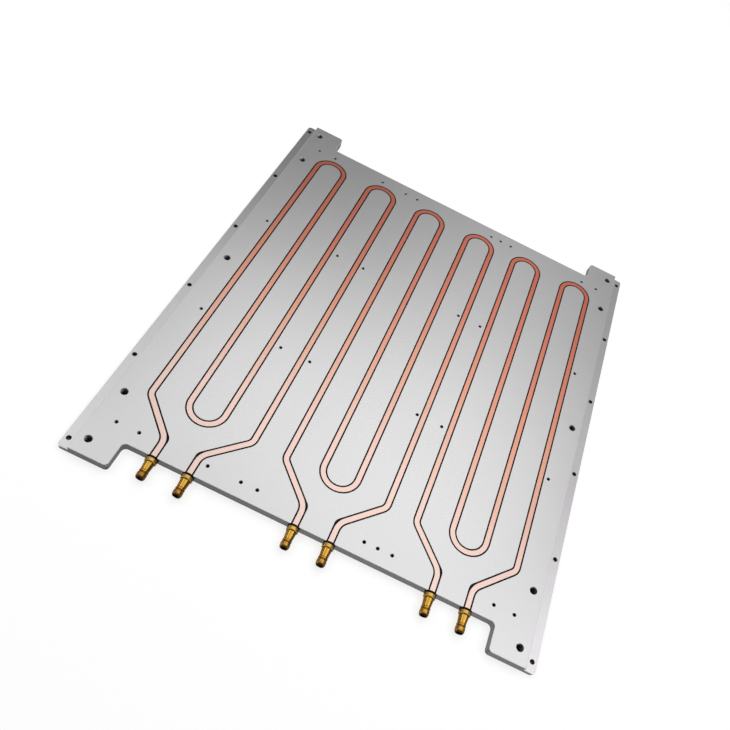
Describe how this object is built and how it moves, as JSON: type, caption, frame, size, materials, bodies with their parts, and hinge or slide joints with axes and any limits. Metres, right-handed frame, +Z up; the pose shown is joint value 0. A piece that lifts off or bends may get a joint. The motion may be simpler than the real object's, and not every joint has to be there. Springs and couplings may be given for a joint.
{
  "type": "liquid cold plate",
  "caption": "Flat machined aluminium cold plate with serpentine copper tubes pressed flush into its top face and brass hose barbs along one edge.",
  "frame": {"origin": "centre of the plate's underside", "axes": "+Z up out of the cooled face, -Y towards the hose fittings, +X to the right seen from the fittings' side"},
  "size_m": [0.511, 0.598, 0.0133],
  "materials": {
    "plate_aluminium": "fine milled, satin",
    "tube_copper": null,
    "groove_epoxy": "cured dark epoxy",
    "fitting_brass": "turned brass with brown tarnish"
  },
  "bodies": {
    "root": {"base_plate": "plate_aluminium", "cooling_tube_left": "tube_copper", "groove_epoxy_left": "groove_epoxy", "hose_fitting_left_left": "fitting_brass", "hose_fitting_left_right": "fitting_brass", "cooling_tube_middle": "tube_copper", "groove_epoxy_middle": "groove_epoxy", "hose_fitting_middle_left": "fitting_brass", "hose_fitting_middle_right": "fitting_brass", "cooling_tube_right": "tube_copper", "groove_epoxy_right": "groove_epoxy", "hose_fitting_right_left": "fitting_brass", "hose_fitting_right_right": "fitting_brass"}
  },
  "joints": []
}
